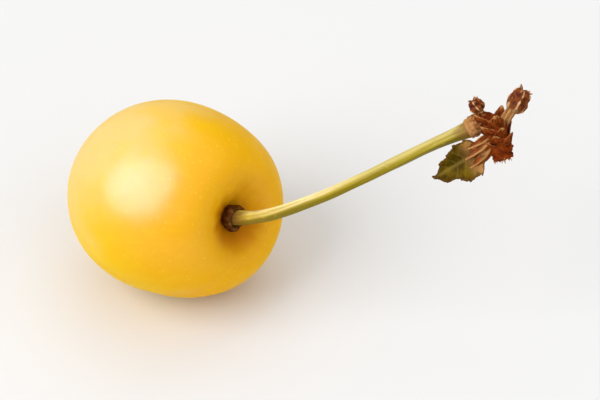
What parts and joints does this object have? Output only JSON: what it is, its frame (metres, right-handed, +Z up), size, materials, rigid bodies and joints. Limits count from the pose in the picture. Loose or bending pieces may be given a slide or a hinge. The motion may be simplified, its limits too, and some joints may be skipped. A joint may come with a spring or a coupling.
{
  "type": "cherry",
  "caption": "Yellow sweet cherry resting on its cheek, with its curved green stem and the brown spur tip with bud scales at the stem's end.",
  "frame": {"origin": "middle of the small flat spot that the fruit rests on", "axes": "+Z up, away from the surface; +X towards the far end of the stem; +Y away from the viewer of the picture"},
  "size_m": [0.0516, 0.0236, 0.0312],
  "materials": {
    "skin": "satin",
    "cork": "matte",
    "stem": "satin",
    "bark": "matte",
    "bract": "matte",
    "husk": "matte"
  },
  "bodies": {
    "root": {"fruit": "skin", "receptacle": "cork", "stem": "stem", "spur": "bark", "bract": "bract", "withered_bud_large": "husk", "withered_bud_small": "husk"}
  },
  "joints": []
}
